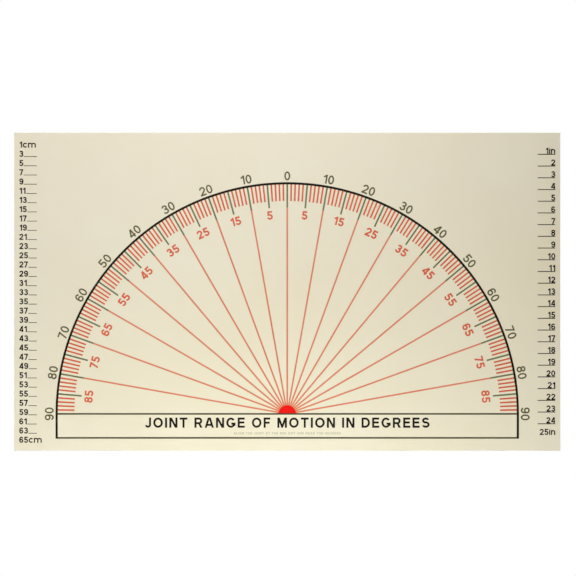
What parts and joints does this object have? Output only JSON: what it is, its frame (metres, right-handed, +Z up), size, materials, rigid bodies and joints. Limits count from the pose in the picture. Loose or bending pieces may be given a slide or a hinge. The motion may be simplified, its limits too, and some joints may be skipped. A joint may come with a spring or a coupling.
{
  "type": "wall goniometer",
  "caption": "Wide flat board printed with a half-circle degree scale and two length rulers, sliding up and down on two wall tracks and locked by a screw clamp on each side.",
  "frame": {"origin": "centre of the inner wall bolt pattern, on the wall's surface, level with the board's middle at rest", "axes": "+Y into the wall, so the printed face looks along -Y; +X to the right seen from the front; +Z up"},
  "size_m": [1.184, 0.0771, 0.69],
  "materials": {
    "face_laminate": "satin printed cream laminate",
    "back_laminate": "matt off-white balancing laminate",
    "edge_banding": "satin cream edge band",
    "board_core": "raw wood fibre",
    "black_ink": "matt screen print",
    "olive_ink": "matt screen print",
    "green_ink": "matt screen print",
    "orange_ink": "matt screen print",
    "red_ink": "matt screen print",
    "grey_ink": "matt screen print",
    "anodised_aluminium": "satin anodised",
    "painted_steel": "light grey powder coat",
    "zinc_steel": "bright zinc",
    "white_acetal": "satin moulded",
    "black_plastic": "fine moulded grain",
    "rubber": "matt",
    "brass": "turned"
  },
  "bodies": {
    "wall_frame": {"upper_wall_bar": "painted_steel", "lower_wall_bar": "painted_steel", "left_track": "anodised_aluminium", "right_track": "anodised_aluminium", "left_upper_stop": "black_plastic", "left_lower_stop": "black_plastic", "right_upper_stop": "black_plastic", "right_lower_stop": "black_plastic", "stop_bumpers": "rubber", "stop_screws": "zinc_steel", "track_spacers": "anodised_aluminium", "track_screws": "zinc_steel"},
    "board": {"board_core": "board_core", "face_sheet": "face_laminate", "back_sheet": "back_laminate", "top_edge_band": "edge_banding", "bottom_edge_band": "edge_banding", "left_edge_band": "edge_banding", "right_edge_band": "edge_banding", "upper_stiffener": "anodised_aluminium", "lower_stiffener": "anodised_aluminium", "left_carriage": "painted_steel", "right_carriage": "painted_steel", "left_upper_glide": "white_acetal", "left_lower_glide": "white_acetal", "right_upper_glide": "white_acetal", "right_lower_glide": "white_acetal", "left_clamp_block": "anodised_aluminium", "right_clamp_block": "anodised_aluminium", "board_inserts": "brass", "carriage_screws": "zinc_steel", "stiffener_screws": "zinc_steel", "glide_screws": "zinc_steel", "clamp_block_screws": "zinc_steel", "dial_outline": "black_ink", "band_lines": "olive_ink", "one_degree_ticks": "orange_ink", "five_degree_ticks": "green_ink", "ten_degree_spokes": "orange_ink", "centre_mark": "red_ink", "tens_numerals": "olive_ink", "fives_numerals": "orange_ink", "centimetre_ruler": "black_ink", "inch_ruler": "black_ink", "band_title": "black_ink", "band_note": "grey_ink"},
    "left_pad": {"left_clamp_pad": "brass"},
    "left_knob": {"left_clamp_screw": "zinc_steel", "left_lock_knob": "black_plastic", "left_knob_cap": "black_plastic"},
    "right_pad": {"right_clamp_pad": "brass"},
    "right_knob": {"right_clamp_screw": "zinc_steel", "right_lock_knob": "black_plastic", "right_knob_cap": "black_plastic"}
  },
  "joints": [
    {"name": "height_slide", "type": "slide", "parent": "wall_frame", "child": "board", "axis": [0, 0, 1], "range_m": [-0.2, 0.2]},
    {"name": "left_pad_travel", "type": "slide", "parent": "board", "child": "left_pad", "axis": [-1, 0, 0], "range_m": [0, 0.00187]},
    {"name": "left_knob_turn", "type": "hinge", "parent": "left_pad", "child": "left_knob", "pos_m": [-0.51, -0.029, 0], "axis": [-1, 0, 0], "range_deg": [0, 540]},
    {"name": "right_pad_travel", "type": "slide", "parent": "board", "child": "right_pad", "axis": [1, 0, 0], "range_m": [0, 0.00187]},
    {"name": "right_knob_turn", "type": "hinge", "parent": "right_pad", "child": "right_knob", "pos_m": [0.51, -0.029, 0], "axis": [1, 0, 0], "range_deg": [0, 540]}
  ],
  "couplings": [
    {"joint": "left_knob_turn", "follows": "left_pad_travel", "rad_per_m": 5026.5},
    {"joint": "right_knob_turn", "follows": "right_pad_travel", "rad_per_m": 5026.5}
  ]
}
